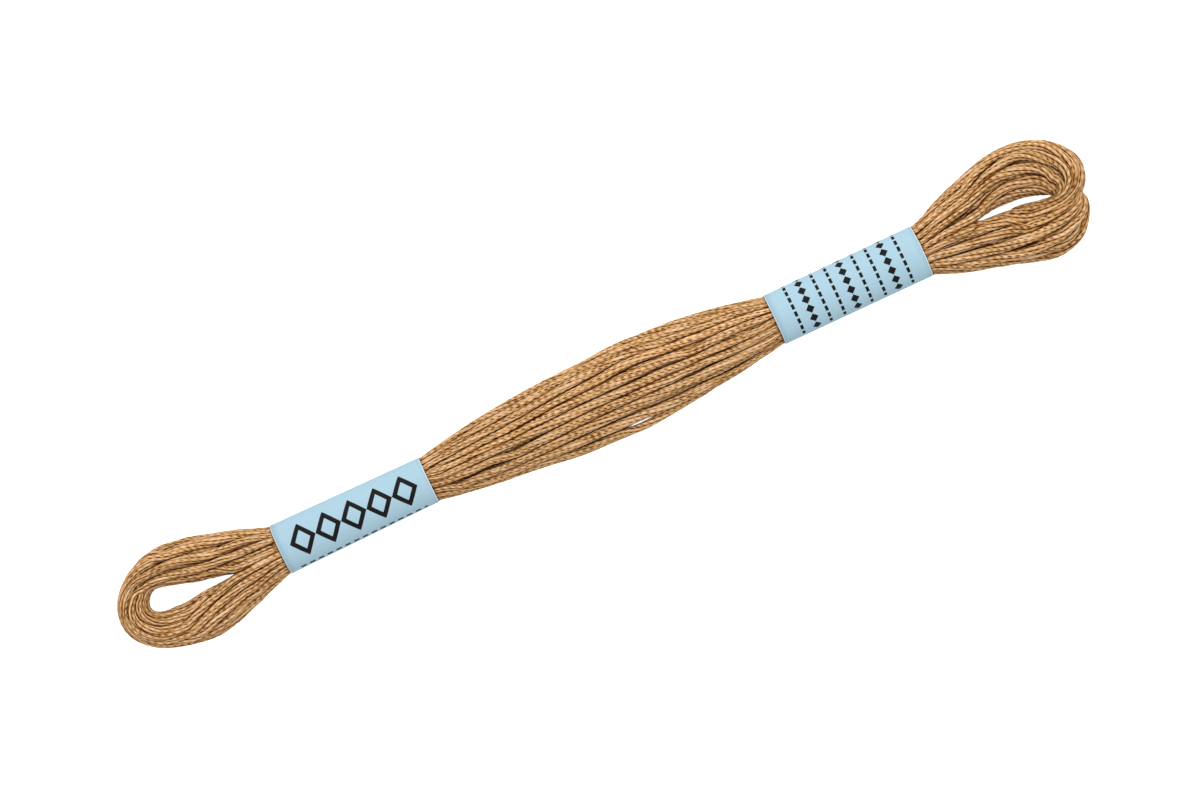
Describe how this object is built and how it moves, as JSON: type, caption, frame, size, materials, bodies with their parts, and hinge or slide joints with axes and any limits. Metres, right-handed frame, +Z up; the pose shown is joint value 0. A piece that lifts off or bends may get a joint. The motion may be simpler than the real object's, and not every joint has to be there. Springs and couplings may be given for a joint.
{
  "type": "skein of embroidery floss",
  "caption": "Skein of tan embroidery floss lying flat: a long looped hank held together by pale blue paper bands, with an eye at each end.",
  "frame": {"origin": "centre of the skein's box at the surface that it lies on", "axes": "+X along the skein, from the plain teardrop loop to the folded loop; +Z up from the surface"},
  "size_m": [0.1638, 0.0189, 0.0074],
  "materials": {
    "floss": "soft mercerised cotton sheen",
    "band_paper": "smooth matte paper"
  },
  "bodies": {
    "root": {"floss_hank": "floss", "paper_band_left": "band_paper", "paper_band_right": "band_paper"}
  },
  "joints": []
}
